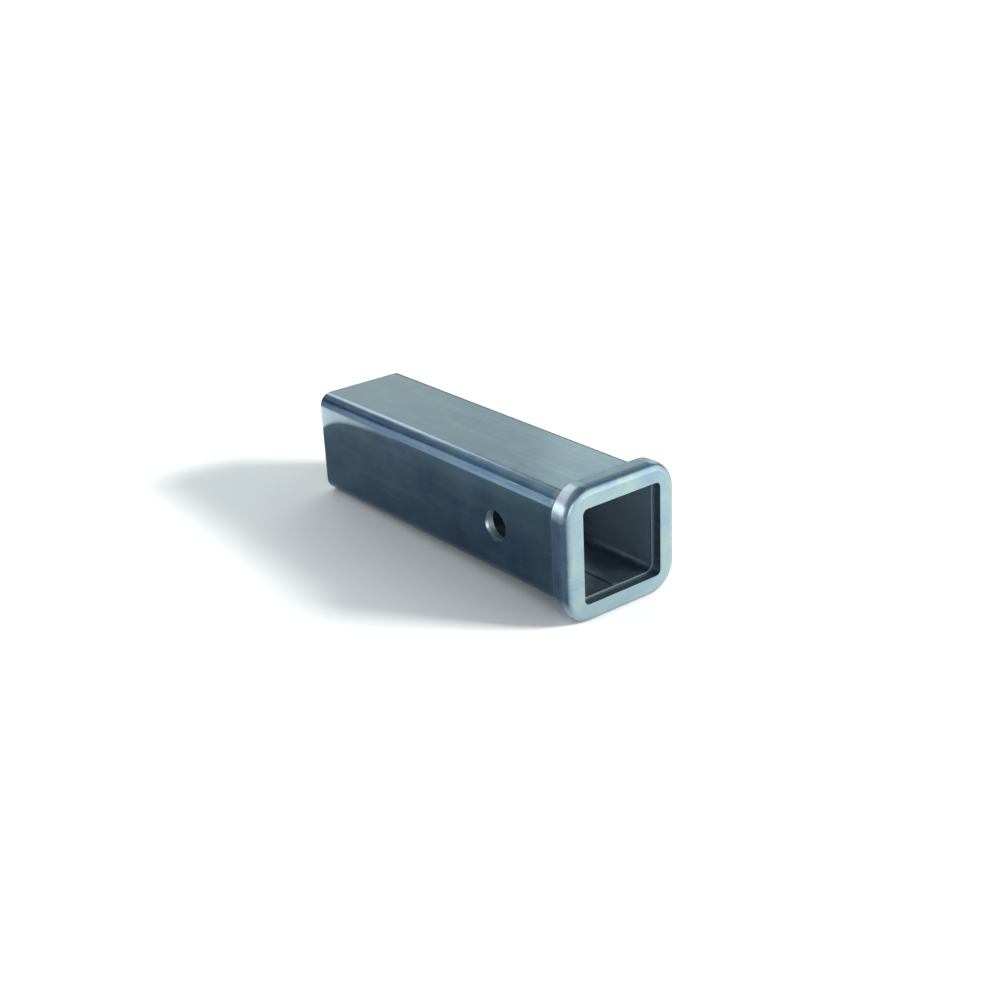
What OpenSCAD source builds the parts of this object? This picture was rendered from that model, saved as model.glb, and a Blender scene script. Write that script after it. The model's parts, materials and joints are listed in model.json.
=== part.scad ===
// Receiver sleeve for a towing hitch: a length of square steel tube with a
// pin hole across it, a forged collar round its mouth and the fillet weld
// that holds the collar. Lengths in millimetres. X runs along the tube
// towards the mouth, Z is up, and the origin is the centre of the pin hole.

/* [Tube] */
// Outside width and height of the square tube
tube_w = 63.5; // [56:0.5:80]
// Thickness of the tube's wall
tube_wall = 6; // [4:0.1:8]
// Length of the tube, which ends inside the collar
tube_len = 231; // [150:1:400]
// Outside radius of the tube's corners
tube_corner_r = 8; // [5:0.1:12]
// Radius of the tube's corners on the inside
bore_corner_r = 4; // [2:0.1:6]
// Bevel left by deburring the tube's two ends
deburr = 0.7; // [0.2:0.1:1.5]

/* [Seam] */
// Width of the weld seam inside the tube, in the middle of the bottom wall
seam_w = 4; // [2:0.1:8]
// Height of the seam above the wall
seam_h = 0.6; // [0.2:0.1:1.5]

/* [Pin hole] */
// Diameter of the hitch pin
pin_d = 15.9; // [12:0.1:20]
// Difference between the diameters of the hole and the pin
pin_clearance = 1.9; // [0.3:0.1:2.5]
// Distance from the mouth to the centre of the pin hole
mouth_to_pin = 67; // [45:0.5:100]
// How far the pin hole lies below the middle of the tube's height
hole_drop = 1.5; // [0:0.1:3]

/* [Collar] */
// Length of the collar along the tube
collar_len = 12.7; // [10:0.1:25]
// Thickness of the collar outside the tube
collar_wall = 6.2; // [4:0.1:10]
// Outside radius of the collar's corners
collar_corner_r = 16.6; // [12:0.1:20]
// Gap between the tube and the collar's bore
seat_gap = 0.2; // [0.1:0.05:0.5]
// How far the tube's end stands back from the mouth
lip_depth = 5.5; // [3:0.1:8]
// How far the lip's opening stands clear of the tube's bore, each side
lip_step = 1.25; // [0.5:0.05:3]
// Radius of the corners of the lip's opening
lip_corner_r = 3.2; // [1:0.1:6]
// How far the flat face's edge lies inside the collar's outside
face_inset = 4.4; // [3.2:0.05:6]
// Angle between the bevel and the flat face
bevel_angle = 19; // [10:1:35]
// Radius of the shoulder between the bevel and the crowned side
shoulder_r = 2.7; // [1:0.1:4]
// Angle through which the crowned side turns before the shoulder
crown_turn = 20; // [10:1:25]
// Radius of the crowned side
crown_r = 11; // [6:0.5:16]
// Radius on the collar's rear edge
rear_edge_r = 1.2; // [0.5:0.1:2]

/* [Weld] */
// Leg of the fillet weld behind the collar
weld_leg = 4.2; // [2:0.1:5]
// Depth of the hollow in the face of the weld
weld_hollow = 0.6; // [0.1:0.1:1]

/* [Hidden] */
$fn = 96;
// Straight steps on each drawn arc
arc_steps = 8;
// How far a cut runs past the face it opens
overrun = 1;

bore_w = tube_w - 2 * tube_wall;
tube_corner_at = tube_w / 2 - tube_corner_r;
bore_corner_at = bore_w / 2 - bore_corner_r;

tube_front = mouth_to_pin - lip_depth;
tube_rear = tube_front - tube_len;
pin_hole_d = pin_d + pin_clearance;

collar_w = tube_w + 2 * (seat_gap + collar_wall);
collar_rear = mouth_to_pin - collar_len;
collar_corner_at = collar_w / 2 - collar_corner_r;
seat_w = tube_w + 2 * seat_gap;
seat_corner_r = tube_corner_r + seat_gap;
lip_w = bore_w + 2 * lip_step;

// Points on an arc in the plane of a drawn profile; first = 1 leaves out the
// point that it shares with the arc before it
function arc(centre, r, from, to, first = 0) =
    [for (i = [first:arc_steps])
        let (a = from + (to - from) * i / arc_steps)
        centre + r * [cos(a), sin(a)]];

// The collar's outside from its rear edge to its flat face, as pairs of
// place along the tube and half width
function collar_profile() =
    let (
        half = collar_w / 2,
        crown_end = half - crown_r * (1 - cos(crown_turn)),
        shoulder_mid = crown_end - shoulder_r * cos(crown_turn),
        shoulder_end = shoulder_mid + shoulder_r * sin(bevel_angle),
        bevel_depth = (shoulder_end - half + face_inset) * tan(bevel_angle),
        shoulder_at = mouth_to_pin - bevel_depth - shoulder_r * cos(bevel_angle),
        crown_at = shoulder_at - (crown_r - shoulder_r) * sin(crown_turn)
    )
    concat(
        arc([collar_rear + rear_edge_r, half - rear_edge_r], rear_edge_r, 180, 90),
        arc([crown_at, half - crown_r], crown_r, 90, 90 - crown_turn),
        arc([shoulder_at, shoulder_mid], shoulder_r, 90 - crown_turn, bevel_angle, 1),
        [[mouth_to_pin, half - face_inset]]
    );

// The weld's face from its toe on the tube to its toe on the collar, hollowed
// along an arc through both toes
function weld_profile() =
    let (
        chord = weld_leg * sqrt(2),
        r = (chord * chord / 4 + weld_hollow * weld_hollow) / (2 * weld_hollow),
        half_turn = asin(chord / 2 / r),
        out = (r - weld_hollow) / sqrt(2),
        middle = [collar_rear - weld_leg / 2, (tube_w + weld_leg) / 2]
    )
    arc(middle + out * [-1, 1], r, -45 - half_turn, -45 + half_turn);

// Turns a shape that stands on end so that it lies along the tube's centre line
module along_tube(start) {
    translate([start, 0, hole_drop]) rotate([90, 0, 90]) children();
}

module rounded_square(w, r) {
    square([w, w - 2 * r], center = true);
    square([w - 2 * r, w], center = true);
    for (x = [-1, 1], y = [-1, 1])
        translate([x, y] * (w / 2 - r)) circle(r);
}

// A straight bar of rounded square section
module square_bar(rear, front, w, r) {
    along_tube(rear) linear_extrude(front - rear) rounded_square(w, r);
}

// A bar of rounded square section whose half width follows a profile: the
// flats are the profile drawn across, the corners are the profile turned
module profiled_bar(profile, corner_at) {
    last = len(profile) - 1;
    along_tube(0) {
        for (quarter = [0, 90])
            rotate([0, 0, quarter]) rotate([90, 0, 0])
                linear_extrude(2 * corner_at, center = true)
                    polygon(concat(
                        [for (p = profile) [p[1], p[0]]],
                        [for (i = [last:-1:0]) [-profile[i][1], profile[i][0]]]
                    ));
        for (x = [-1, 1], y = [-1, 1])
            translate([x * corner_at, y * corner_at, 0]) rotate_extrude()
                polygon(concat(
                    [[0, profile[0][0]]],
                    [for (p = profile) [p[1] - corner_at, p[0]]],
                    [[0, profile[last][0]]]
                ));
    }
}

// The flared cut that deburrs the bore at one end; out points away from the tube
module bore_deburr(end, out) {
    wide = bore_w / 2 + deburr + overrun;
    narrow = bore_w / 2 - overrun;
    inside = [end - out * (deburr + overrun), narrow];
    outside = [end + out * overrun, wide];
    profiled_bar(out > 0 ? [inside, outside] : [outside, inside], bore_corner_at);
}

// Low rounded bead left inside by the tube's own seam
module seam_bead() {
    bead_r = (seam_w * seam_w / 4 + seam_h * seam_h) / (2 * seam_h);
    bed = -bore_w / 2;
    along_tube(tube_rear + deburr)
        linear_extrude(tube_len - 2 * deburr)
            intersection() {
                translate([0, bed + seam_h - bead_r]) circle(bead_r);
                translate([-seam_w / 2, bed - tube_wall / 2])
                    square([seam_w, tube_wall / 2 + seam_h]);
            }
}

module receiver_tube() {
    color("slategray")
        difference() {
            union() {
                difference() {
                    square_bar(tube_rear, tube_front, tube_w, tube_corner_r);
                    square_bar(tube_rear - overrun, tube_front + overrun,
                               bore_w, bore_corner_r);
                    bore_deburr(tube_front, 1);
                    bore_deburr(tube_rear, -1);
                }
                seam_bead();
            }
            rotate([90, 0, 0])
                cylinder(h = tube_w + 2 * overrun, d = pin_hole_d, center = true);
        }
}

module collar() {
    color("lightsteelblue")
        difference() {
            profiled_bar(collar_profile(), collar_corner_at);
            square_bar(collar_rear - overrun, tube_front, seat_w, seat_corner_r);
            square_bar(tube_front - overrun, mouth_to_pin + overrun, lip_w, lip_corner_r);
        }
}

module collar_weld() {
    color("gray")
        intersection() {
            difference() {
                profiled_bar(weld_profile(), tube_corner_at);
                square_bar(collar_rear - weld_leg - overrun, collar_rear + overrun,
                           tube_w, tube_corner_r);
            }
            square_bar(collar_rear - weld_leg - overrun, collar_rear + overrun,
                       collar_w - 2 * rear_edge_r, collar_corner_r - rear_edge_r);
        }
}

receiver_tube();
collar();
collar_weld();
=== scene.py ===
import json
import math
import random

import bmesh
import bpy
from mathutils import Matrix, Vector


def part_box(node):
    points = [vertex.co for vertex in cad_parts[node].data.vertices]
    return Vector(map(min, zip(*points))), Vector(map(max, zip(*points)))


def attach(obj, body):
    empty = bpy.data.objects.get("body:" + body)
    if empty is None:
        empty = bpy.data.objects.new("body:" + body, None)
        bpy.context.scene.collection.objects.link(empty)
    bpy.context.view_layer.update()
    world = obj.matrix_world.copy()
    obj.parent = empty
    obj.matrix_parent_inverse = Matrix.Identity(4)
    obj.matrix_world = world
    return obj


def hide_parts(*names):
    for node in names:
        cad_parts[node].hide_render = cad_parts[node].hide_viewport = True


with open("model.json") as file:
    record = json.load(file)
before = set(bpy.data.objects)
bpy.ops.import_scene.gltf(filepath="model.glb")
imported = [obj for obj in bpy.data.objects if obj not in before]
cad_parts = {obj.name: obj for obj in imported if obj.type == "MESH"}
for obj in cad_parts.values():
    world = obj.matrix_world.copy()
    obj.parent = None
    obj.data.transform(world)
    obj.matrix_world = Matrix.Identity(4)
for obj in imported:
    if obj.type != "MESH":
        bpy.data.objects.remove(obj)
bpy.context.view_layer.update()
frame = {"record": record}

# Receiver tube
# The real piece is a saw-cut length of 2-1/2 in square steel tube. It is cold formed from strip and
# welded along one seam, whose low bead stays inside, and it comes bare, blue-grey and lightly oiled
# from the mill. The pin hole is punched through both sides and the two ends are deburred.

MM = 0.001
tube_low, tube_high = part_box("receiver_tube")
tube_w = tube_high.y - tube_low.y
centre_z = (tube_low.z + tube_high.z) / 2
wall = 6.0 * MM
tube_corner_r = 8.0 * MM
bore_w = tube_w - 2 * wall
bore_corner_r = 4.0 * MM
deburr = 0.7 * MM
saw_edge = 0.25 * MM
seam_w = 4.0 * MM
seam_h = 0.6 * MM
pin_r = next(m["dims"]["r_mm"] for m in frame["record"]["mounts"] if m["name"] == "pin_hole") * MM
hole_edge = 0.35 * MM
overrun = 1.0 * MM   # how far a cut runs past the face that it opens
hair = 0.01 * MM     # what lies this near to a face counts as on it
corner_steps, bore_steps, hole_steps = 16, 10, 96
edge_steps, round_steps = 2, 3
sharp_angle = math.radians(35)


def pick(piece, kind, wanted):
    """Selects, in edit mode, the edges or faces of a piece for which wanted() is true."""
    bpy.ops.mesh.select_mode(type=kind)
    bpy.ops.mesh.select_all(action="DESELECT")
    mesh = bmesh.from_edit_mesh(piece.data)
    for part in (mesh.edges if kind == "EDGE" else mesh.faces):
        if wanted(part):
            part.select_set(True)
    bmesh.update_edit_mesh(piece.data)


def lies_at(edge, x):
    """True for an edge that lies in the plane across the tube at x."""
    return all(abs(v.co.x - x) < hair for v in edge.verts)


def half_width(point):
    """How far a point is from the tube's centre line, measured square."""
    return max(abs(point.y), abs(point.z - centre_z))


def square_bar(name, rear, front, width, corner_r, steps):
    """A solid bar along the tube, of rounded square section, left selected in object mode."""
    bpy.ops.object.select_all(action="DESELECT")
    bpy.ops.mesh.primitive_cube_add(size=1, location=((rear + front) / 2, 0, centre_z),
                                    scale=(front - rear, width, width))
    bar = bpy.context.object
    bar.name = name
    bpy.ops.object.transform_apply(location=True, rotation=True, scale=True)
    bpy.ops.object.mode_set(mode="EDIT")
    pick(bar, "EDGE", lambda e: abs(e.verts[0].co.x - e.verts[1].co.x) > (front - rear) / 2)
    bpy.ops.mesh.bevel(offset=corner_r, segments=steps, profile=0.5, affect="EDGES")
    bpy.ops.object.mode_set(mode="OBJECT")
    return bar


def combine(piece, other, operation):
    """Cuts other out of piece, or adds it to piece, and removes other."""
    bpy.ops.object.select_all(action="DESELECT")
    bpy.context.view_layer.objects.active = piece
    piece.select_set(True)
    join = piece.modifiers.new("join", "BOOLEAN")
    join.operation = operation
    join.solver = "EXACT"
    join.object = other
    bpy.ops.object.modifier_apply(modifier=join.name)
    bpy.data.objects.remove(other, do_unlink=True)


def round_edges(piece, wanted, width, steps):
    """Rounds the edges of a piece for which wanted() is true."""
    bpy.ops.object.mode_set(mode="EDIT")
    pick(piece, "EDGE", wanted)
    bpy.ops.mesh.bevel(offset=width, segments=steps, profile=0.5, affect="EDGES")
    bpy.ops.object.mode_set(mode="OBJECT")


def cover(piece, material, wanted):
    """Gives this material to the faces of a piece for which wanted() is true."""
    piece.data.materials.append(material)
    piece.active_material_index = len(piece.data.materials) - 1
    bpy.ops.object.mode_set(mode="EDIT")
    pick(piece, "FACE", wanted)
    bpy.ops.object.material_slot_assign()
    bpy.ops.object.mode_set(mode="OBJECT")


def finish_shading(piece):
    """Smooth corners and true flats: normals are weighted by face area, sharp edges stay."""
    bpy.ops.object.select_all(action="DESELECT")
    bpy.context.view_layer.objects.active = piece
    piece.select_set(True)
    bpy.ops.object.shade_smooth_by_angle(angle=sharp_angle)
    weigh = piece.modifiers.new("weigh", "WEIGHTED_NORMAL")
    weigh.keep_sharp = True
    bpy.ops.object.modifier_apply(modifier=weigh.name)


tube = square_bar("tube", tube_low.x, tube_high.x, tube_w, tube_corner_r, corner_steps)
round_edges(tube, lambda e: lies_at(e, tube_low.x) or lies_at(e, tube_high.x), saw_edge, edge_steps)
bore = square_bar("bore", tube_low.x - overrun, tube_high.x + overrun, bore_w, bore_corner_r,
                  bore_steps)
combine(tube, bore, "DIFFERENCE")


def on_bore_mouth(edge):
    at_end = lies_at(edge, tube_low.x) or lies_at(edge, tube_high.x)
    return at_end and all(half_width(v.co) < bore_w / 2 + hair for v in edge.verts)


round_edges(tube, on_bore_mouth, deburr, edge_steps)

# The seam's bead is one bar with its top corners taken off, which stops just short of the deburred
# ends. It is cut into short lengths, and all but the last few millimetres is shaken a little, as a
# welded seam is never quite even
bead_short = 0.2 * MM
bead_len = tube_high.x - tube_low.x - 2 * (deburr + bead_short)
bead_cuts = 80
bead_shake, bead_still, bead_foot = 0.12 * MM, 4.0 * MM, 0.3 * MM
bed = centre_z - bore_w / 2
bpy.ops.object.select_all(action="DESELECT")
bpy.ops.mesh.primitive_cube_add(size=1, location=((tube_low.x + tube_high.x) / 2, 0, bed),
                                scale=(bead_len, seam_w, 2 * seam_h))
bead = bpy.context.object
bpy.ops.object.transform_apply(location=True, rotation=True, scale=True)
bpy.ops.object.mode_set(mode="EDIT")
pick(bead, "EDGE", lambda e: abs(e.verts[0].co.x - e.verts[1].co.x) > bead_len / 2
     and e.verts[0].co.z > bed)
bpy.ops.mesh.bevel(offset=0.9 * seam_h, segments=round_steps, profile=0.5, affect="EDGES")
pick(bead, "EDGE", lambda e: abs(e.verts[0].co.x - e.verts[1].co.x) > bead_len / 2)
bpy.ops.mesh.subdivide(number_cuts=bead_cuts)
pick(bead, "FACE", lambda f: f.calc_center_median().z > bed + bead_foot
     and tube_low.x + bead_still < f.calc_center_median().x < tube_high.x - bead_still)
bpy.ops.transform.vertex_random(offset=bead_shake, uniform=0.6, normal=0.0, seed=7)
bpy.ops.object.mode_set(mode="OBJECT")
combine(tube, bead, "UNION")

# The pin hole goes through both sides
bpy.ops.object.select_all(action="DESELECT")
bpy.ops.mesh.primitive_cylinder_add(vertices=hole_steps, radius=pin_r, depth=tube_w + 2 * overrun,
                                    rotation=(math.radians(90), 0, 0))
punch = bpy.context.object
bpy.ops.object.transform_apply(location=True, rotation=True, scale=True)
combine(tube, punch, "DIFFERENCE")


def on_hole_mouth(edge):
    at_wall = any(all(abs(abs(v.co.y) - side) < hair for v in edge.verts)
                  for side in (tube_w / 2, bore_w / 2))
    return at_wall and all(math.hypot(v.co.x, v.co.z) < pin_r + hair for v in edge.verts)


round_edges(tube, on_hole_mouth, hole_edge, round_steps)
finish_shading(tube)


def linear(code):
    """An sRGB hex colour as the linear colour that a shader takes."""
    parts = [int(code[i:i + 2], 16) / 255 for i in (1, 3, 5)]
    return [c / 12.92 if c <= 0.04045 else ((c + 0.055) / 1.055) ** 2.4 for c in parts] + [1.0]


def add(material, kind, inputs=None, **settings):
    """Adds a node with its settings; inputs are values, or the output sockets that feed it."""
    node = material.node_tree.nodes.new(kind)
    for key, value in settings.items():
        setattr(node, key, value)
    for key, value in (inputs or {}).items():
        if isinstance(value, bpy.types.NodeSocket):
            material.node_tree.links.new(value, node.inputs[key])
        else:
            node.inputs[key].default_value = value
    return node


def start(name, metallic, roughness):
    """A new node material, its shader and the object coordinates that its patterns use."""
    material = bpy.data.materials.new(name)
    material.use_nodes = True
    shader = material.node_tree.nodes["Principled BSDF"]
    shader.inputs["Metallic"].default_value = metallic
    shader.inputs["Roughness"].default_value = roughness
    place = add(material, "ShaderNodeTexCoord").outputs["Object"]
    return material, shader, place


# Oiled mill steel: a tight blue-grey skin left by the rolls and drawn out along the tube, with a
# film of oil over it. It mirrors softly, cloudy where the oil is thin and greener where it has
# dried, with fine lengthwise lines, a paler scarfed strip over the seam, and a straw and blue tint
# where the collar weld heated it
MIX_A, MIX_B, MIX_OUT = 6, 7, 2   # the colour sockets of a Mix node
CLOUD_LOW, CLOUD_HIGH = 0.3, 0.7  # nearly all of a cloudy noise lies between these
LINE_LOW, LINE_HIGH = 0.5, 0.8    # and the stronger lines of a drawn-out noise between these
mill_steel, shader, place = start("oiled_mill_steel", 0.9, 0.25)
cloud_size, stain_size = 20.0 * MM, 26.0 * MM
streak_len, streak_w = 110.0 * MM, 5.0 * MM
line_len, line_w = 70.0 * MM, 1.1 * MM   # the real lines are finer, about 0.2 mm
line_h = 0.004 * MM
scuff_len, scuff_w = 16.0 * MM, 0.7 * MM
scuff_turn = (0.2, 0.0, 0.12)
wave_size, wave_h = 45.0 * MM, 0.03 * MM

clouds = add(mill_steel, "ShaderNodeTexNoise", {
    "Vector": place, "Scale": 1 / cloud_size, "Detail": 4.0, "Roughness": 0.6})
streaks = add(mill_steel, "ShaderNodeTexNoise", {
    "Vector": add(mill_steel, "ShaderNodeMapping", {
        "Vector": place, "Scale": (1 / streak_len, 1 / streak_w, 1 / streak_w)}).outputs["Vector"],
    "Scale": 1.0, "Detail": 3.0})
lines = add(mill_steel, "ShaderNodeTexNoise", {
    "Vector": add(mill_steel, "ShaderNodeMapping", {
        "Vector": place, "Scale": (1 / line_len, 1 / line_w, 1 / line_w)}).outputs["Vector"],
    "Scale": 1.0, "Detail": 2.0})
scuffs = add(mill_steel, "ShaderNodeTexNoise", {
    "Vector": add(mill_steel, "ShaderNodeMapping", {
        "Vector": place, "Rotation": scuff_turn,
        "Scale": (1 / scuff_len, 1 / scuff_w, 1 / scuff_w)}).outputs["Vector"],
    "Scale": 1.0, "Detail": 1.0})
where = add(mill_steel, "ShaderNodeSeparateXYZ", {"Vector": place})

skin = add(mill_steel, "ShaderNodeMix", {
    "Factor": add(mill_steel, "ShaderNodeMapRange", {
        "Value": clouds.outputs["Fac"], "From Min": CLOUD_LOW,
        "From Max": CLOUD_HIGH}).outputs["Result"],
    MIX_A: linear("#2b4158"), MIX_B: linear("#3a5368")}, data_type="RGBA")
stains = add(mill_steel, "ShaderNodeTexNoise", {
    "Vector": place, "Scale": 1 / stain_size, "Detail": 3.0, "Distortion": 0.8})
stained = add(mill_steel, "ShaderNodeMix", {
    "Factor": add(mill_steel, "ShaderNodeMapRange", {
        "Value": stains.outputs["Fac"], "From Min": 0.48, "From Max": 0.66,
        "To Max": 0.45}).outputs["Result"],
    MIX_A: skin.outputs[MIX_OUT], MIX_B: linear("#3d5657")}, data_type="RGBA")
drawn = add(mill_steel, "ShaderNodeMix", {
    "Factor": add(mill_steel, "ShaderNodeMapRange", {
        "Value": streaks.outputs["Fac"], "From Min": LINE_LOW, "From Max": LINE_HIGH,
        "To Max": 0.4}).outputs["Result"],
    MIX_A: stained.outputs[MIX_OUT], MIX_B: linear("#536675")}, data_type="RGBA")
scuffed = add(mill_steel, "ShaderNodeMix", {
    "Factor": add(mill_steel, "ShaderNodeMapRange", {
        "Value": scuffs.outputs["Fac"], "From Min": 0.7, "From Max": 0.78,
        "To Max": 0.3}).outputs["Result"],
    MIX_A: drawn.outputs[MIX_OUT], MIX_B: linear("#798c98")}, data_type="RGBA")

# The scarfed strip lies under the tube, over the seam
scarf_w, scarf_h, scarf_fade = 7.0 * MM, 1.0 * MM, 0.6 * MM
aside = add(mill_steel, "ShaderNodeMath", {0: where.outputs["Y"]}, operation="ABSOLUTE")
near_seam = add(mill_steel, "ShaderNodeMapRange", {
    "Value": aside.outputs["Value"], "From Min": scarf_w / 2,
    "From Max": scarf_w / 2 - scarf_fade})
below = add(mill_steel, "ShaderNodeMath", {
    0: where.outputs["Z"], 1: tube_low.z + scarf_h}, operation="LESS_THAN")
scarf = add(mill_steel, "ShaderNodeMath", {
    0: near_seam.outputs["Result"], 1: below.outputs["Value"]}, operation="MULTIPLY")
scarf_shine = add(mill_steel, "ShaderNodeMath", {
    0: scarf.outputs["Value"], 1: lines.outputs["Fac"]}, operation="MULTIPLY")
scarfed = add(mill_steel, "ShaderNodeMix", {
    "Factor": scarf_shine.outputs["Value"],
    MIX_A: scuffed.outputs[MIX_OUT], MIX_B: linear("#a3b0b6")}, data_type="RGBA")

# A painted reflection: a strip along each side, where the top corner begins, is lightened, most at the
# front
corner_at = tube_w / 2 - tube_corner_r
reflection_band_from, reflection_band_to = corner_at + 0.2 * MM, corner_at + 2.2 * MM
reflection_band_fade = 0.3 * MM
off_centre = add(mill_steel, "ShaderNodeMath", {
    0: where.outputs["Z"], 1: centre_z}, operation="SUBTRACT")
strip_from = add(mill_steel, "ShaderNodeMapRange", {
    "Value": off_centre.outputs["Value"], "From Min": reflection_band_from - reflection_band_fade,
    "From Max": reflection_band_from + reflection_band_fade})
strip_to = add(mill_steel, "ShaderNodeMapRange", {
    "Value": off_centre.outputs["Value"], "From Min": reflection_band_to + reflection_band_fade,
    "From Max": reflection_band_to - reflection_band_fade})
strip = add(mill_steel, "ShaderNodeMath", {
    0: strip_from.outputs["Result"], 1: strip_to.outputs["Result"]}, operation="MULTIPLY")
strip_fade = add(mill_steel, "ShaderNodeMapRange", {
    "Value": where.outputs["X"], "From Min": tube_low.x, "From Max": 0.0,
    "To Min": 0.1, "To Max": 0.65})
painted_band = add(mill_steel, "ShaderNodeMath", {
    0: strip.outputs["Value"], 1: strip_fade.outputs["Result"]}, operation="MULTIPLY")
with_painted_band = add(mill_steel, "ShaderNodeMix", {
    "Factor": painted_band.outputs["Value"],
    MIX_A: scarfed.outputs[MIX_OUT], MIX_B: linear("#7b96ad")}, data_type="RGBA")

# A painted reflection of a lit floor: the two sides are lightened just under the top corners at the
# rear end, in a patch that runs out to a thin line along the corner
reflection_len, reflection_h, reflection_line_h = 17.0 * MM, 13.0 * MM, 1.2 * MM
reflection_reach = 5 * reflection_len
reflection_soft_under, reflection_soft_over = 0.8 * MM, 1.4 * MM
corner_line = tube_high.z - tube_corner_r
run = add(mill_steel, "ShaderNodeMapRange", {
    "Value": where.outputs["X"], "From Min": tube_low.x, "From Max": tube_low.x + reflection_len,
    "To Min": 0.0, "To Max": -1.0}, clamp=False)
fade = add(mill_steel, "ShaderNodeMath", {0: math.e, 1: run.outputs["Result"]}, operation="POWER")
reflection_low = add(mill_steel, "ShaderNodeMath", {
    0: fade.outputs["Value"], 1: -reflection_h, 2: corner_line - reflection_line_h}, operation="MULTIPLY_ADD")
below_reflection = add(mill_steel, "ShaderNodeMath", {
    0: where.outputs["Z"], 1: reflection_low.outputs["Value"]}, operation="SUBTRACT")
above_edge = add(mill_steel, "ShaderNodeMapRange", {
    "Value": below_reflection.outputs["Value"], "From Min": -reflection_soft_under,
    "From Max": reflection_soft_over})
under_corner = add(mill_steel, "ShaderNodeMapRange", {
    "Value": where.outputs["Z"], "From Min": corner_line + reflection_line_h,
    "From Max": corner_line})
reflection_run = add(mill_steel, "ShaderNodeMapRange", {
    "Value": where.outputs["X"], "From Min": tube_low.x, "From Max": tube_low.x + reflection_reach,
    "To Min": 0.85, "To Max": 0.0})
reflection_patch = add(mill_steel, "ShaderNodeMath", {
    0: above_edge.outputs["Result"], 1: under_corner.outputs["Result"]}, operation="MULTIPLY")
reflection_even = add(mill_steel, "ShaderNodeMath", {
    0: reflection_patch.outputs["Value"], 1: reflection_run.outputs["Result"]}, operation="MULTIPLY")
painted_reflection = add(mill_steel, "ShaderNodeMath", {
    0: reflection_even.outputs["Value"],
    1: add(mill_steel, "ShaderNodeMapRange", {
        "Value": clouds.outputs["Fac"], "From Min": 0.35, "From Max": 0.6,
        "To Min": 0.72, "To Max": 1.0}).outputs["Result"]}, operation="MULTIPLY")
with_painted_light = add(mill_steel, "ShaderNodeMix", {
    "Factor": painted_reflection.outputs["Value"],
    MIX_A: with_painted_band.outputs[MIX_OUT], MIX_B: linear("#bed2e0")}, data_type="RGBA")

# The heat of the weld fades from blue through straw to nothing, with an uneven edge
tint_len, tint_uneven = 4.5 * MM, 6.0 * MM
tint_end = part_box("collar_weld")[0].x + tint_uneven / 2
heat_way = add(mill_steel, "ShaderNodeMath", {
    0: clouds.outputs["Fac"], 1: tint_uneven, 2: where.outputs["X"]}, operation="MULTIPLY_ADD")
heat = add(mill_steel, "ShaderNodeMapRange", {
    "Value": heat_way.outputs["Value"], "From Min": tint_end - tint_len, "From Max": tint_end})
heat_tint = add(mill_steel, "ShaderNodeValToRGB", {"Fac": heat.outputs["Result"]})
for spot, code in ((0.35, "#66706c"), (0.6, "#5c626b"), (0.8, "#3d5878"), (0.95, "#52606a")):
    heat_tint.color_ramp.elements.new(spot).color = linear(code)
heat_tint.color_ramp.elements[0].color = linear("#5c6f6f")
heated = add(mill_steel, "ShaderNodeMix", {
    "Factor": add(mill_steel, "ShaderNodeMapRange", {
        "Value": heat.outputs["Result"], "From Max": 0.5, "To Max": 0.45}).outputs["Result"],
    MIX_A: with_painted_light.outputs[MIX_OUT], MIX_B: heat_tint.outputs["Color"]}, data_type="RGBA")
mill_steel.node_tree.links.new(heated.outputs[MIX_OUT], shader.inputs["Base Color"])
mill_steel.node_tree.links.new(add(mill_steel, "ShaderNodeMapRange", {
    "Value": clouds.outputs["Fac"], "From Min": CLOUD_LOW, "From Max": CLOUD_HIGH,
    "To Min": 0.12, "To Max": 0.2}).outputs["Result"], shader.inputs["Roughness"])
rolled = add(mill_steel, "ShaderNodeBump", {
    "Height": lines.outputs["Fac"], "Strength": 1.0, "Distance": line_h})
waves = add(mill_steel, "ShaderNodeBump", {
    "Height": add(mill_steel, "ShaderNodeTexNoise", {
        "Vector": place, "Scale": 1 / wave_size, "Detail": 1.0}).outputs["Fac"],
    "Normal": rolled.outputs["Normal"], "Strength": 1.0, "Distance": wave_h})
mill_steel.node_tree.links.new(waves.outputs["Normal"], shader.inputs["Normal"])

# Bore steel: painted paler and duller than the outer skin, as painted light inside the bore, with
# lengthwise drag lines. The bottom wall is painted darker, as painted shade
bore_steel, shader, place = start("bore_steel_painted_pale", 0.8, 0.42)
cloud_size = 12.0 * MM
drag_h = 0.02 * MM
bottom_shade_h, bottom_shade_uneven = 5.0 * MM, 8.0 * MM
clouds = add(bore_steel, "ShaderNodeTexNoise", {
    "Vector": place, "Scale": 1 / cloud_size, "Detail": 4.0, "Roughness": 0.6})
lines = add(bore_steel, "ShaderNodeTexNoise", {
    "Vector": add(bore_steel, "ShaderNodeMapping", {
        "Vector": place, "Scale": (1 / line_len, 1 / line_w, 1 / line_w)}).outputs["Vector"],
    "Scale": 1.0, "Detail": 2.0})
# The bore's pale colour stands in for light inside it: painted light
skin = add(bore_steel, "ShaderNodeMix", {
    "Factor": clouds.outputs["Fac"],
    MIX_A: linear("#7e96a7"), MIX_B: linear("#9db0bc")}, data_type="RGBA")
dragged = add(bore_steel, "ShaderNodeMix", {
    "Factor": add(bore_steel, "ShaderNodeMapRange", {
        "Value": lines.outputs["Fac"], "From Min": LINE_LOW, "From Max": LINE_HIGH,
        "To Max": 0.35}).outputs["Result"],
    MIX_A: skin.outputs[MIX_OUT], MIX_B: linear("#a6b4ba")}, data_type="RGBA")
where = add(bore_steel, "ShaderNodeSeparateXYZ", {"Vector": place})
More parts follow.
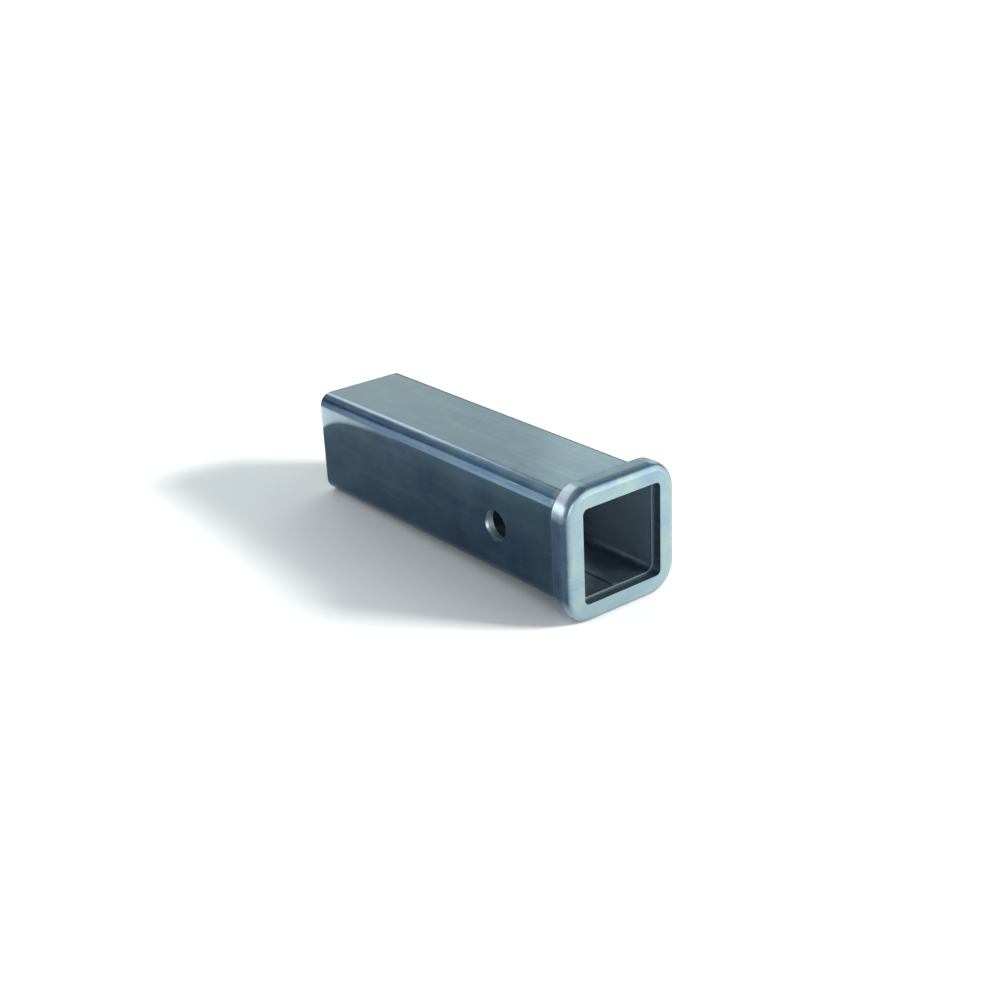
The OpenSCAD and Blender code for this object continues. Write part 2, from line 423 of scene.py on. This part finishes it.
# Painted shade: the bottom wall of the bore is darkened, with an uneven top edge
bottom_shade_way = add(bore_steel, "ShaderNodeMath", {
    0: clouds.outputs["Fac"], 1: bottom_shade_uneven, 2: where.outputs["Z"]}, operation="MULTIPLY_ADD")
bottom_shade_low = bed + bottom_shade_uneven / 2
bottom_shade = add(bore_steel, "ShaderNodeMapRange", {
    "Value": bottom_shade_way.outputs["Value"], "From Min": bottom_shade_low + bottom_shade_h, "From Max": bottom_shade_low,
    "To Max": 0.75})
with_bottom_shade = add(bore_steel, "ShaderNodeMix", {
    "Factor": bottom_shade.outputs["Result"],
    MIX_A: dragged.outputs[MIX_OUT], MIX_B: linear("#3d4c55")}, data_type="RGBA")
bore_steel.node_tree.links.new(with_bottom_shade.outputs[MIX_OUT], shader.inputs["Base Color"])
bore_steel.node_tree.links.new(add(bore_steel, "ShaderNodeBump", {
    "Height": lines.outputs["Fac"], "Strength": 1.0, "Distance": drag_h}).outputs["Normal"],
    shader.inputs["Normal"])

# Saw-cut steel: bright bare metal, with the uneven marks of the blade's teeth across it
cut_steel, shader, place = start("saw_cut_steel", 1.0, 0.35)
tooth_len, tooth_w, tooth_h = 40.0 * MM, 0.9 * MM, 0.05 * MM
blade_angle = math.radians(12)
teeth = add(cut_steel, "ShaderNodeTexNoise", {
    "Vector": add(cut_steel, "ShaderNodeMapping", {
        "Vector": place, "Rotation": (blade_angle, 0.0, 0.0),
        "Scale": (0.0, 1 / tooth_len, 1 / tooth_w)}).outputs["Vector"],
    "Scale": 1.0, "Detail": 2.0})
cut_steel.node_tree.links.new(add(cut_steel, "ShaderNodeMix", {
    "Factor": teeth.outputs["Fac"],
    MIX_A: linear("#667680"), MIX_B: linear("#a0afb7")}, data_type="RGBA").outputs[MIX_OUT],
    shader.inputs["Base Color"])
cut_steel.node_tree.links.new(add(cut_steel, "ShaderNodeBump", {
    "Height": teeth.outputs["Fac"], "Strength": 1.0, "Distance": tooth_h}).outputs["Normal"],
    shader.inputs["Normal"])

# Punched steel: the punch burnishes the first third of each wall, and the rest breaks away rough. Both
# are painted paler than bare steel, partly as painted light on the hole's wall
punched_steel, shader, place = start("punched_steel", 0.85, 0.35)
punched_in = 2.2 * MM
torn_uneven, torn_fade = 1.4 * MM, 0.2 * MM
chip_size, chip_h = 1.2 * MM, 0.25 * MM
where = add(punched_steel, "ShaderNodeSeparateXYZ", {"Vector": place})
aside = add(punched_steel, "ShaderNodeMath", {0: where.outputs["Y"]}, operation="ABSOLUTE")
chips = add(punched_steel, "ShaderNodeTexNoise", {
    "Vector": place, "Scale": 1 / chip_size, "Detail": 3.0})
torn_way = add(punched_steel, "ShaderNodeMath", {
    0: chips.outputs["Fac"], 1: torn_uneven, 2: aside.outputs["Value"]}, operation="MULTIPLY_ADD")
torn_from = tube_w / 2 - punched_in + torn_uneven / 2
torn = add(punched_steel, "ShaderNodeMapRange", {
    "Value": torn_way.outputs["Value"], "From Min": torn_from + torn_fade,
    "From Max": torn_from - torn_fade})
punched_steel.node_tree.links.new(add(punched_steel, "ShaderNodeMix", {
    "Factor": torn.outputs["Result"],
    MIX_A: linear("#cfdbe1"), MIX_B: linear("#9babb4")}, data_type="RGBA").outputs[MIX_OUT],
    shader.inputs["Base Color"])
punched_steel.node_tree.links.new(add(punched_steel, "ShaderNodeMapRange", {
    "Value": torn.outputs["Result"], "To Min": 0.3, "To Max": 0.5}).outputs["Result"],
    shader.inputs["Roughness"])
chipped = add(punched_steel, "ShaderNodeMath", {
    0: chips.outputs["Fac"], 1: torn.outputs["Result"]}, operation="MULTIPLY")
punched_steel.node_tree.links.new(add(punched_steel, "ShaderNodeBump", {
    "Height": chipped.outputs["Value"], "Strength": 1.0, "Distance": chip_h}).outputs["Normal"],
    shader.inputs["Normal"])

# A face in the hole that leans further to the side than this is part of its rounded edge
most_lean = 0.5


def in_hole(face):
    middle = face.calc_center_median()
    return math.hypot(middle.x, middle.z) < pin_r + hair and abs(face.normal.y) < most_lean


def in_bore(face):
    return half_width(face.calc_center_median()) < bore_w / 2 + hair


def on_end(face):
    middle = face.calc_center_median()
    from_end = min(middle.x - tube_low.x, tube_high.x - middle.x)
    deburred = from_end < deburr and half_width(middle) < bore_w / 2 + deburr
    return from_end < saw_edge or deburred


tube.data.materials.append(mill_steel)
cover(tube, bore_steel, in_bore)
cover(tube, cut_steel, on_end)
cover(tube, punched_steel, in_hole)
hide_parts("receiver_tube")
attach(tube, "root")

# Collar
# The real piece is a forged steel ring, pushed over the tube's front end and stopped by the lip
# round its mouth. Its sides are crowned and keep the dark forged skin, while the flat face and the
# wide bevel round it are ground bright, with a soft shoulder between the bevel and the side.

collar_low, collar_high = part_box("collar")
collar_w = collar_high.y - collar_low.y
collar_corner_r = 16.6 * MM
lip_step = 1.25 * MM
lip_w = bore_w + 2 * lip_step
lip_corner_r = 3.2 * MM
seat_gap = 0.2 * MM
face_inset = 4.4 * MM
bevel_angle = math.radians(19)
shoulder_r = 2.7 * MM
crown_turn = math.radians(20)
crown_r = 11.0 * MM
arc_steps = 8
rear_edge_r = 1.2 * MM
face_edge = 0.25 * MM
mouth_edge = 0.12 * MM
ring_steps, rear_edge_steps, lip_steps = 28, 5, 8
facing = 0.9   # a face whose normal goes this far along X counts as an end face

# The ring's front is built in steps, each so far in from the side and so far forward: round the
# crown, round the shoulder, then straight down the bevel
steps = []
for radius, start_at, end_at in ((crown_r, 0.0, crown_turn),
                                 (shoulder_r, crown_turn, math.pi / 2 - bevel_angle)):
    for i in range(arc_steps):
        here, there = (start_at + (end_at - start_at) * j / arc_steps for j in (i, i + 1))
        steps.append((radius * (math.cos(here) - math.cos(there)),
                      radius * (math.sin(there) - math.sin(here))))
bevel_fall = face_inset - sum(inward for inward, forward in steps)
steps.append((bevel_fall, bevel_fall * math.tan(bevel_angle)))
crown_at = collar_high.x - sum(forward for inward, forward in steps)

collar = square_bar("collar_ring", collar_low.x, crown_at, collar_w, collar_corner_r, ring_steps)
round_edges(collar, lambda e: lies_at(e, collar_low.x), rear_edge_r, rear_edge_steps)
bpy.ops.object.mode_set(mode="EDIT")
pick(collar, "FACE", lambda f: f.normal.x > facing)
for inward, forward in steps:
    bpy.ops.mesh.inset(thickness=inward, depth=forward, use_even_offset=True)
bpy.ops.object.mode_set(mode="OBJECT")
seat = square_bar("seat", collar_low.x - overrun, tube_high.x, tube_w + 2 * seat_gap,
                  tube_corner_r + seat_gap, corner_steps)
combine(collar, seat, "DIFFERENCE")
mouth = square_bar("mouth", tube_high.x - overrun, collar_high.x + overrun, lip_w, lip_corner_r,
                   lip_steps)
combine(collar, mouth, "DIFFERENCE")
mouth_reach = lip_w / 2 + 1.0 * MM


def on_mouth(edge):
    return lies_at(edge, collar_high.x) and all(half_width(v.co) < mouth_reach for v in edge.verts)


def on_face_edge(edge):
    return lies_at(edge, collar_high.x) and all(half_width(v.co) > mouth_reach for v in edge.verts)


round_edges(collar, on_mouth, mouth_edge, edge_steps)
round_edges(collar, on_face_edge, face_edge, round_steps)
finish_shading(collar)

# Forged steel, ground at the front: shot blasted after forging and oiled, so the skin is a little
# paler and more even than the tube's, with an orange-peel grain, and a painted highlight lightens its
# corners. The face and its bevel are belt ground down to clean metal, with fine straight lines, and
# the skin gives way to the grinding across the shoulder and the bevel, a little unevenly
FLOAT_A, FLOAT_B, FLOAT_OUT = 2, 3, 0      # a Mix node's sockets for plain values
VECTOR_A, VECTOR_B, VECTOR_OUT = 4, 5, 1   # and for directions
forged_steel, shader, place = start("forged_and_ground_steel", 0.92, 0.3)
cloud_size, stain_size = 9.0 * MM, 14.0 * MM
peel_size, peel_h = 1.6 * MM, 0.012 * MM
belt_len, belt_w, belt_h = 30.0 * MM, 0.8 * MM, 0.006 * MM   # the real lines are about 0.15 mm
belt_angle = math.radians(35)
ground_from, ground_to = collar_high.x - 2.0 * MM, collar_high.x - 0.35 * MM
ground_uneven = 0.8 * MM
clouds = add(forged_steel, "ShaderNodeTexNoise", {
    "Vector": place, "Scale": 1 / cloud_size, "Detail": 4.0, "Roughness": 0.6})
peel = add(forged_steel, "ShaderNodeTexNoise", {
    "Vector": place, "Scale": 1 / peel_size, "Detail": 2.0})
stains = add(forged_steel, "ShaderNodeTexNoise", {
    "Vector": place, "Scale": 1 / stain_size, "Detail": 3.0})
belt = add(forged_steel, "ShaderNodeTexNoise", {
    "Vector": add(forged_steel, "ShaderNodeMapping", {
        "Vector": place, "Rotation": (belt_angle, 0.0, 0.0),
        "Scale": (1 / belt_len, 1 / belt_len, 1 / belt_w)}).outputs["Vector"],
    "Scale": 1.0, "Detail": 2.0})
where = add(forged_steel, "ShaderNodeSeparateXYZ", {"Vector": place})

skin = add(forged_steel, "ShaderNodeMix", {
    "Factor": add(forged_steel, "ShaderNodeMapRange", {
        "Value": clouds.outputs["Fac"], "From Min": CLOUD_LOW,
        "From Max": CLOUD_HIGH}).outputs["Result"],
    MIX_A: linear("#384d61"), MIX_B: linear("#455b70")}, data_type="RGBA")

# Only the corners reach so far from the centre line, so only they are lightened, as a painted highlight
corner_reach = (collar_w / 2 - collar_corner_r) * math.sqrt(2) + collar_corner_r
highlight_from, highlight_to = corner_reach - 3.58 * MM, corner_reach - 0.28 * MM
highlight_uneven = 2.0 * MM
from_axis = add(forged_steel, "ShaderNodeVectorMath", {
    0: add(forged_steel, "ShaderNodeVectorMath", {
        0: place, 1: (0.0, 0.0, centre_z)}, operation="SUBTRACT").outputs["Vector"],
    1: (0.0, 1.0, 1.0)}, operation="MULTIPLY")
reach = add(forged_steel, "ShaderNodeVectorMath", {
    0: from_axis.outputs["Vector"]}, operation="LENGTH")
highlight_way = add(forged_steel, "ShaderNodeMath", {
    0: clouds.outputs["Fac"], 1: highlight_uneven, 2: reach.outputs["Value"]}, operation="MULTIPLY_ADD")
corner_highlight = add(forged_steel, "ShaderNodeMapRange", {
    "Value": highlight_way.outputs["Value"], "From Min": highlight_from + highlight_uneven / 2,
    "From Max": highlight_to + highlight_uneven / 2, "To Max": 0.85})
with_painted_light = add(forged_steel, "ShaderNodeMix", {
    "Factor": corner_highlight.outputs["Result"],
    MIX_A: skin.outputs[MIX_OUT], MIX_B: linear("#a3b6c2")}, data_type="RGBA")

# The rear edge is lightened as well, a little unevenly, as a painted highlight
rear_highlight_from, rear_highlight_to, rear_highlight_uneven = collar_low.x + 1.4 * MM, collar_low.x + 0.4 * MM, 1.2 * MM
rear_highlight_way = add(forged_steel, "ShaderNodeMath", {
    0: clouds.outputs["Fac"], 1: rear_highlight_uneven, 2: where.outputs["X"]}, operation="MULTIPLY_ADD")
rear_highlight = add(forged_steel, "ShaderNodeMapRange", {
    "Value": rear_highlight_way.outputs["Value"], "From Min": rear_highlight_from + rear_highlight_uneven / 2,
    "From Max": rear_highlight_to + rear_highlight_uneven / 2, "To Max": 0.3})
with_rear_highlight = add(forged_steel, "ShaderNodeMix", {
    "Factor": rear_highlight.outputs["Result"],
    MIX_A: with_painted_light.outputs[MIX_OUT], MIX_B: linear("#8ba0b0")}, data_type="RGBA")

# The ground metal is stained a little by the oil and lined by the belt
bright = add(forged_steel, "ShaderNodeMix", {
    "Factor": add(forged_steel, "ShaderNodeMapRange", {
        "Value": stains.outputs["Fac"], "From Min": CLOUD_LOW,
        "From Max": CLOUD_HIGH}).outputs["Result"],
    MIX_A: linear("#8ba6b8"), MIX_B: linear("#a0b9b7")}, data_type="RGBA")
lined = add(forged_steel, "ShaderNodeMix", {
    "Factor": add(forged_steel, "ShaderNodeMapRange", {
        "Value": belt.outputs["Fac"], "From Min": 0.45, "From Max": 0.75,
        "To Max": 0.3}).outputs["Result"],
    MIX_A: bright.outputs[MIX_OUT], MIX_B: linear("#aec3ca")}, data_type="RGBA")
ground_way = add(forged_steel, "ShaderNodeMath", {
    0: clouds.outputs["Fac"], 1: ground_uneven, 2: where.outputs["X"]}, operation="MULTIPLY_ADD")
ground = add(forged_steel, "ShaderNodeMapRange", {
    "Value": ground_way.outputs["Value"], "From Min": ground_from + ground_uneven / 2,
    "From Max": ground_to + ground_uneven / 2})
forged_steel.node_tree.links.new(add(forged_steel, "ShaderNodeMix", {
    "Factor": ground.outputs["Result"],
    MIX_A: with_rear_highlight.outputs[MIX_OUT], MIX_B: lined.outputs[MIX_OUT]},
    data_type="RGBA").outputs[MIX_OUT], shader.inputs["Base Color"])
skin_roughness = add(forged_steel, "ShaderNodeMapRange", {
    "Value": clouds.outputs["Fac"], "From Min": CLOUD_LOW, "From Max": CLOUD_HIGH,
    "To Min": 0.24, "To Max": 0.34})
forged_steel.node_tree.links.new(add(forged_steel, "ShaderNodeMix", {
    "Factor": ground.outputs["Result"], FLOAT_A: skin_roughness.outputs["Result"],
    FLOAT_B: 0.32}).outputs[FLOAT_OUT], shader.inputs["Roughness"])
peeled = add(forged_steel, "ShaderNodeBump", {
    "Height": peel.outputs["Fac"], "Strength": 1.0, "Distance": peel_h})
belted = add(forged_steel, "ShaderNodeBump", {
    "Height": belt.outputs["Fac"], "Strength": 1.0, "Distance": belt_h})
forged_steel.node_tree.links.new(add(forged_steel, "ShaderNodeMix", {
    "Factor": ground.outputs["Result"], VECTOR_A: peeled.outputs["Normal"],
    VECTOR_B: belted.outputs["Normal"]}, data_type="VECTOR").outputs[VECTOR_OUT],
    shader.inputs["Normal"])

# Broached steel: the square mouth is cut to size in one pull, which leaves lengthwise drag lines
mouth_steel, shader, place = start("broached_steel", 0.9, 0.34)
broach_h = 0.01 * MM
drag = add(mouth_steel, "ShaderNodeTexNoise", {
    "Vector": add(mouth_steel, "ShaderNodeMapping", {
        "Vector": place, "Scale": (1 / line_len, 1 / line_w, 1 / line_w)}).outputs["Vector"],
    "Scale": 1.0, "Detail": 2.0})
mouth_steel.node_tree.links.new(add(mouth_steel, "ShaderNodeMix", {
    "Factor": drag.outputs["Fac"],
    MIX_A: linear("#566c7e"), MIX_B: linear("#768c9c")}, data_type="RGBA").outputs[MIX_OUT],
    shader.inputs["Base Color"])
mouth_steel.node_tree.links.new(add(mouth_steel, "ShaderNodeBump", {
    "Height": drag.outputs["Fac"], "Strength": 1.0, "Distance": broach_h}).outputs["Normal"],
    shader.inputs["Normal"])

# The grinding reaches this far into the rounded edge of the mouth
ground_in = 0.05 * MM


def in_mouth(face):
    middle = face.calc_center_median()
    return half_width(middle) < lip_w / 2 + hair and middle.x < collar_high.x - ground_in


collar.data.materials.append(forged_steel)
cover(collar, mouth_steel, in_mouth)
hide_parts("collar")
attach(collar, "root")

# Collar weld
# The real piece is the fillet that a welding gun lays round the back of the collar, which fixes it
# to the tube. It fills the corner between the two, and each pulse of the arc leaves one ripple, like
# a row of coins laid over.

weld_low, weld_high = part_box("collar_weld")
ripple_proud = 0.5 * MM   # how far the ripples stand out of the plain fillet under them
bed_leg = weld_high.x - weld_low.x - ripple_proud
ripple_pitch = 1.9 * MM
ripple_across, ripple_along, ripple_thick = 3.0 * MM, 2.6 * MM, 0.95 * MM
ripple_lean = math.radians(13)
facing_out = math.radians(-135)
bead_voxel = 0.3 * MM
rim = 0.05 * MM
stop_steps = 4
shift_most, size_least, size_most = 0.12, 0.93, 1.04
shake = random.Random(5)

weld = square_bar("weld_bead", collar_low.x - rim, collar_low.x + overrun, tube_w + 2 * bed_leg,
                  tube_corner_r + bed_leg, corner_steps)
bpy.ops.object.mode_set(mode="EDIT")
pick(weld, "FACE", lambda f: f.normal.x < -facing)
bpy.ops.mesh.inset(thickness=bed_leg + rim, depth=bed_leg, use_even_offset=True)
bpy.ops.object.mode_set(mode="OBJECT")

# One ripple lies across the fillet's slope, and its copies follow the fillet round the tube from
# the start of the underside, each a little off its even place and size
path_half = tube_w / 2 + bed_leg / 2
path_corner = tube_corner_r + bed_leg / 2
straight = 2 * (path_half - path_corner)
quarter = straight + math.pi / 2 * path_corner
bpy.ops.object.select_all(action="DESELECT")
bpy.ops.mesh.primitive_uv_sphere_add(segments=20, ring_count=12, radius=1.0)
ripple = bpy.context.object
ripple.data.transform(Matrix.Diagonal((ripple_across, ripple_along, ripple_thick, 1.0)))
ripple.data.transform(Matrix.Rotation(ripple_lean, 4, "X"))
ripple.data.transform(Matrix.Rotation(facing_out, 4, "Y"))
count = round(4 * quarter / ripple_pitch)
copies = []
for i in range(count):
    way = (i + shake.uniform(-shift_most, shift_most)) * 4 * quarter / count
    side, along = divmod(way % (4 * quarter), quarter)
    turn = max(0.0, along - straight) / path_corner
    y = -straight / 2 + min(along, straight) + path_corner * math.sin(turn)
    z = -straight / 2 - path_corner * math.cos(turn)
    spot = Matrix.Translation((collar_low.x - bed_leg / 2, 0, centre_z)) \
        @ Matrix.Rotation(side * math.pi / 2, 4, "X") @ Matrix.Translation((0, y, z)) \
        @ Matrix.Rotation(turn, 4, "X") @ Matrix.Scale(shake.uniform(size_least, size_most), 4)
    copy = bpy.data.objects.new("ripple_copy", ripple.data.copy())
    copy.data.transform(spot)
    bpy.context.collection.objects.link(copy)
    copies.append(copy)
bpy.data.objects.remove(ripple, do_unlink=True)
bpy.ops.object.select_all(action="DESELECT")
for piece in [weld] + copies:
    piece.select_set(True)
bpy.context.view_layer.objects.active = weld
bpy.ops.object.join()
remesh = weld.modifiers.new("fuse", "REMESH")
remesh.mode = "VOXEL"
remesh.voxel_size = bead_voxel
bpy.ops.object.modifier_apply(modifier=remesh.name)
smooth = weld.modifiers.new("settle", "SMOOTH")
smooth.factor = 0.5
smooth.iterations = 2
bpy.ops.object.modifier_apply(modifier=smooth.name)
stop = square_bar("stop", collar_low.x, collar_high.x, collar_w, collar_corner_r, stop_steps)
combine(weld, stop, "DIFFERENCE")
seat = square_bar("seat", tube_low.x, tube_high.x, tube_w, tube_corner_r, corner_steps)
combine(weld, seat, "DIFFERENCE")
finish_shading(weld)

# Brushed weld metal: a wire brush has taken the scale off the tops of the ripples, and straw and
# blue oxide is left between them
weld_steel, shader, place = start("brushed_weld_metal", 0.95, 0.36)
oxide_size, oxide_uneven = 2.5 * MM, 2.4 * MM
bristle_len, bristle_w, bristle_h = 6.0 * MM, 0.5 * MM, 0.02 * MM
oxide = add(weld_steel, "ShaderNodeTexNoise", {
    "Vector": place, "Scale": 1 / oxide_size, "Detail": 3.0, "Roughness": 0.6})
bristles = add(weld_steel, "ShaderNodeTexNoise", {
    "Vector": add(weld_steel, "ShaderNodeMapping", {
        "Vector": place,
        "Scale": (1 / bristle_len, 1 / bristle_w, 1 / bristle_w)}).outputs["Vector"],
    "Scale": 1.0, "Detail": 1.0})
where = add(weld_steel, "ShaderNodeSeparateXYZ", {"Vector": place})
weld_way = add(weld_steel, "ShaderNodeMath", {
    0: oxide.outputs["Fac"], 1: oxide_uneven, 2: where.outputs["X"]}, operation="MULTIPLY_ADD")
brushed = add(weld_steel, "ShaderNodeMapRange", {
    "Value": weld_way.outputs["Value"], "From Min": weld_low.x + oxide_uneven / 2,
    "From Max": weld_high.x + oxide_uneven / 2})
weld_tint = add(weld_steel, "ShaderNodeValToRGB", {"Fac": brushed.outputs["Result"]})
for spot, code in ((0.2, "#5c6f86"), (0.34, "#7c7e76"), (0.5, "#a1abae"), (0.8, "#97a3a8")):
    weld_tint.color_ramp.elements.new(spot).color = linear(code)
weld_tint.color_ramp.elements[0].color = linear("#4b5b6d")
weld_tint.color_ramp.elements[-1].color = linear("#66717a")
weld_steel.node_tree.links.new(add(weld_steel, "ShaderNodeMix", {
    "Factor": add(weld_steel, "ShaderNodeMapRange", {
        "Value": bristles.outputs["Fac"], "From Min": LINE_LOW, "From Max": LINE_HIGH,
        "To Max": 0.4}).outputs["Result"],
    MIX_A: weld_tint.outputs["Color"], MIX_B: linear("#b9c3c7")}, data_type="RGBA").outputs[MIX_OUT],
    shader.inputs["Base Color"])
weld_steel.node_tree.links.new(add(weld_steel, "ShaderNodeBump", {
    "Height": bristles.outputs["Fac"], "Strength": 1.0, "Distance": bristle_h}).outputs["Normal"],
    shader.inputs["Normal"])
weld.data.materials.append(weld_steel)
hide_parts("collar_weld")
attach(weld, "root")

# Floor and light
# The sleeve lies as it comes to rest, on the underside of its collar and the lower edge of its rear
# end, so the floor is tilted under it by that small angle. The floor is matt white paint. Soft lamps
# hang round it like the panels of a photo tent, in a room that is otherwise dim and blue-grey.

rest_front = Vector((collar_low.x + rear_edge_r, 0, collar_low.z))
rest_rear = Vector((tube_low.x + saw_edge, 0, tube_low.z))
slope = math.atan2(rest_rear.z - rest_front.z, rest_front.x - rest_rear.x)
floor_size = 40.0
bpy.ops.object.select_all(action="DESELECT")
bpy.ops.mesh.primitive_plane_add(size=floor_size)
floor = bpy.context.object
floor.name = "floor"
lie = Matrix.Translation(rest_front) @ Matrix.Rotation(slope, 4, "Y")
floor.data.transform(lie)
floor_paint, shader = start("matt_white_floor", 0.0, 0.9)[:2]
shader.inputs["Base Color"].default_value = linear("#f4f6f6")
floor.data.materials.append(floor_paint)


def softbox(name, azimuth, elevation, distance, width, height, level, colour):
    """A soft lamp, placed and sized in degrees as seen from the pin hole; level 1 looks paper white."""
    turn, rise = math.radians(azimuth), math.radians(elevation)
    way = Vector((math.cos(turn) * math.cos(rise), math.sin(turn) * math.cos(rise), math.sin(rise)))
    bpy.ops.object.light_add(type="AREA", location=way * distance)
    lamp = bpy.context.object
    lamp.name = name
    lamp.data.shape = "RECTANGLE"
    lamp.data.size = 2 * distance * math.tan(math.radians(width / 2))
    lamp.data.size_y = 2 * distance * math.tan(math.radians(height / 2))
    lamp.data.energy = level * math.pi * lamp.data.size * lamp.data.size_y
    lamp.data.color = linear(colour)[:3]
    lamp.rotation_euler = (-way).to_track_quat("-Z", "Y").to_euler()
    lamp.visible_camera = False
    return lamp


# The back lamp lights the floor and casts the shadow, and the steel mirrors only the others
back_lamp = softbox("back_lamp", 43, 25, 20.0, 15, 11, 100.0, "#fff9f2")
back_lamp.visible_glossy = False
softbox("bevel_lamp", 40, 15, 6.0, 60, 30, 1.9, "#fff6ee")
softbox("top_lamp", 132, 24, 6.0, 42, 20, 1.5, "#f3ffee")
softbox("fore_lamp", 120, 33, 6.0, 38, 32, 0.95, "#f3ffee")
softbox("edge_lamp", 163, 33, 6.0, 20, 10, 5.0, "#fff3e2")
softbox("crest_lamp", 80, 49, 6.0, 64, 18, 0.75, "#f6fffc")
softbox("left_lamp", 234, 11, 4.0, 38, 28, 3.1, "#fffaf4")
softbox("shoulder_lamp", 196, 38, 6.0, 62, 24, 0.95, "#fff8f0")
softbox("roof_lamp", 186, 47, 6.0, 44, 14, 0.9, "#fff8f0")
softbox("front_lamp", -24, 12, 4.0, 40, 22, 3.0, "#ffffff")

room_light = (0.22, 0.275, 0.33, 1.0)
world = bpy.data.worlds.new("room")
bpy.context.scene.world = world
world.use_nodes = True
world.node_tree.nodes["Background"].inputs["Color"].default_value = room_light
world.node_tree.nodes["Background"].inputs["Strength"].default_value = 1.0
bpy.context.scene.view_settings.view_transform = "Standard"

# Camera
# It stands where the photographer's did, worked out from the outline of the tube, the collar and
# the mouth in the photograph, with the lens that gives the same narrowing towards the rear.

camera_place = Vector((600.7, -492.2, 341.0)) * MM
camera_aim = Vector((-35.5, 0.0, -5.5)) * MM
camera_roll = math.radians(-2.8)
sensor_w, focal_length = 36.0, 55.36
bpy.ops.object.camera_add(location=camera_place)
camera = bpy.context.object
camera.name = "camera"
camera.data.sensor_width = sensor_w
camera.data.lens = focal_length
aimed = (camera_aim - camera_place).to_track_quat("-Z", "Y").to_matrix().to_4x4()
camera.rotation_euler = (aimed @ Matrix.Rotation(camera_roll, 4, "Z")).to_euler()
bpy.context.scene.camera = camera
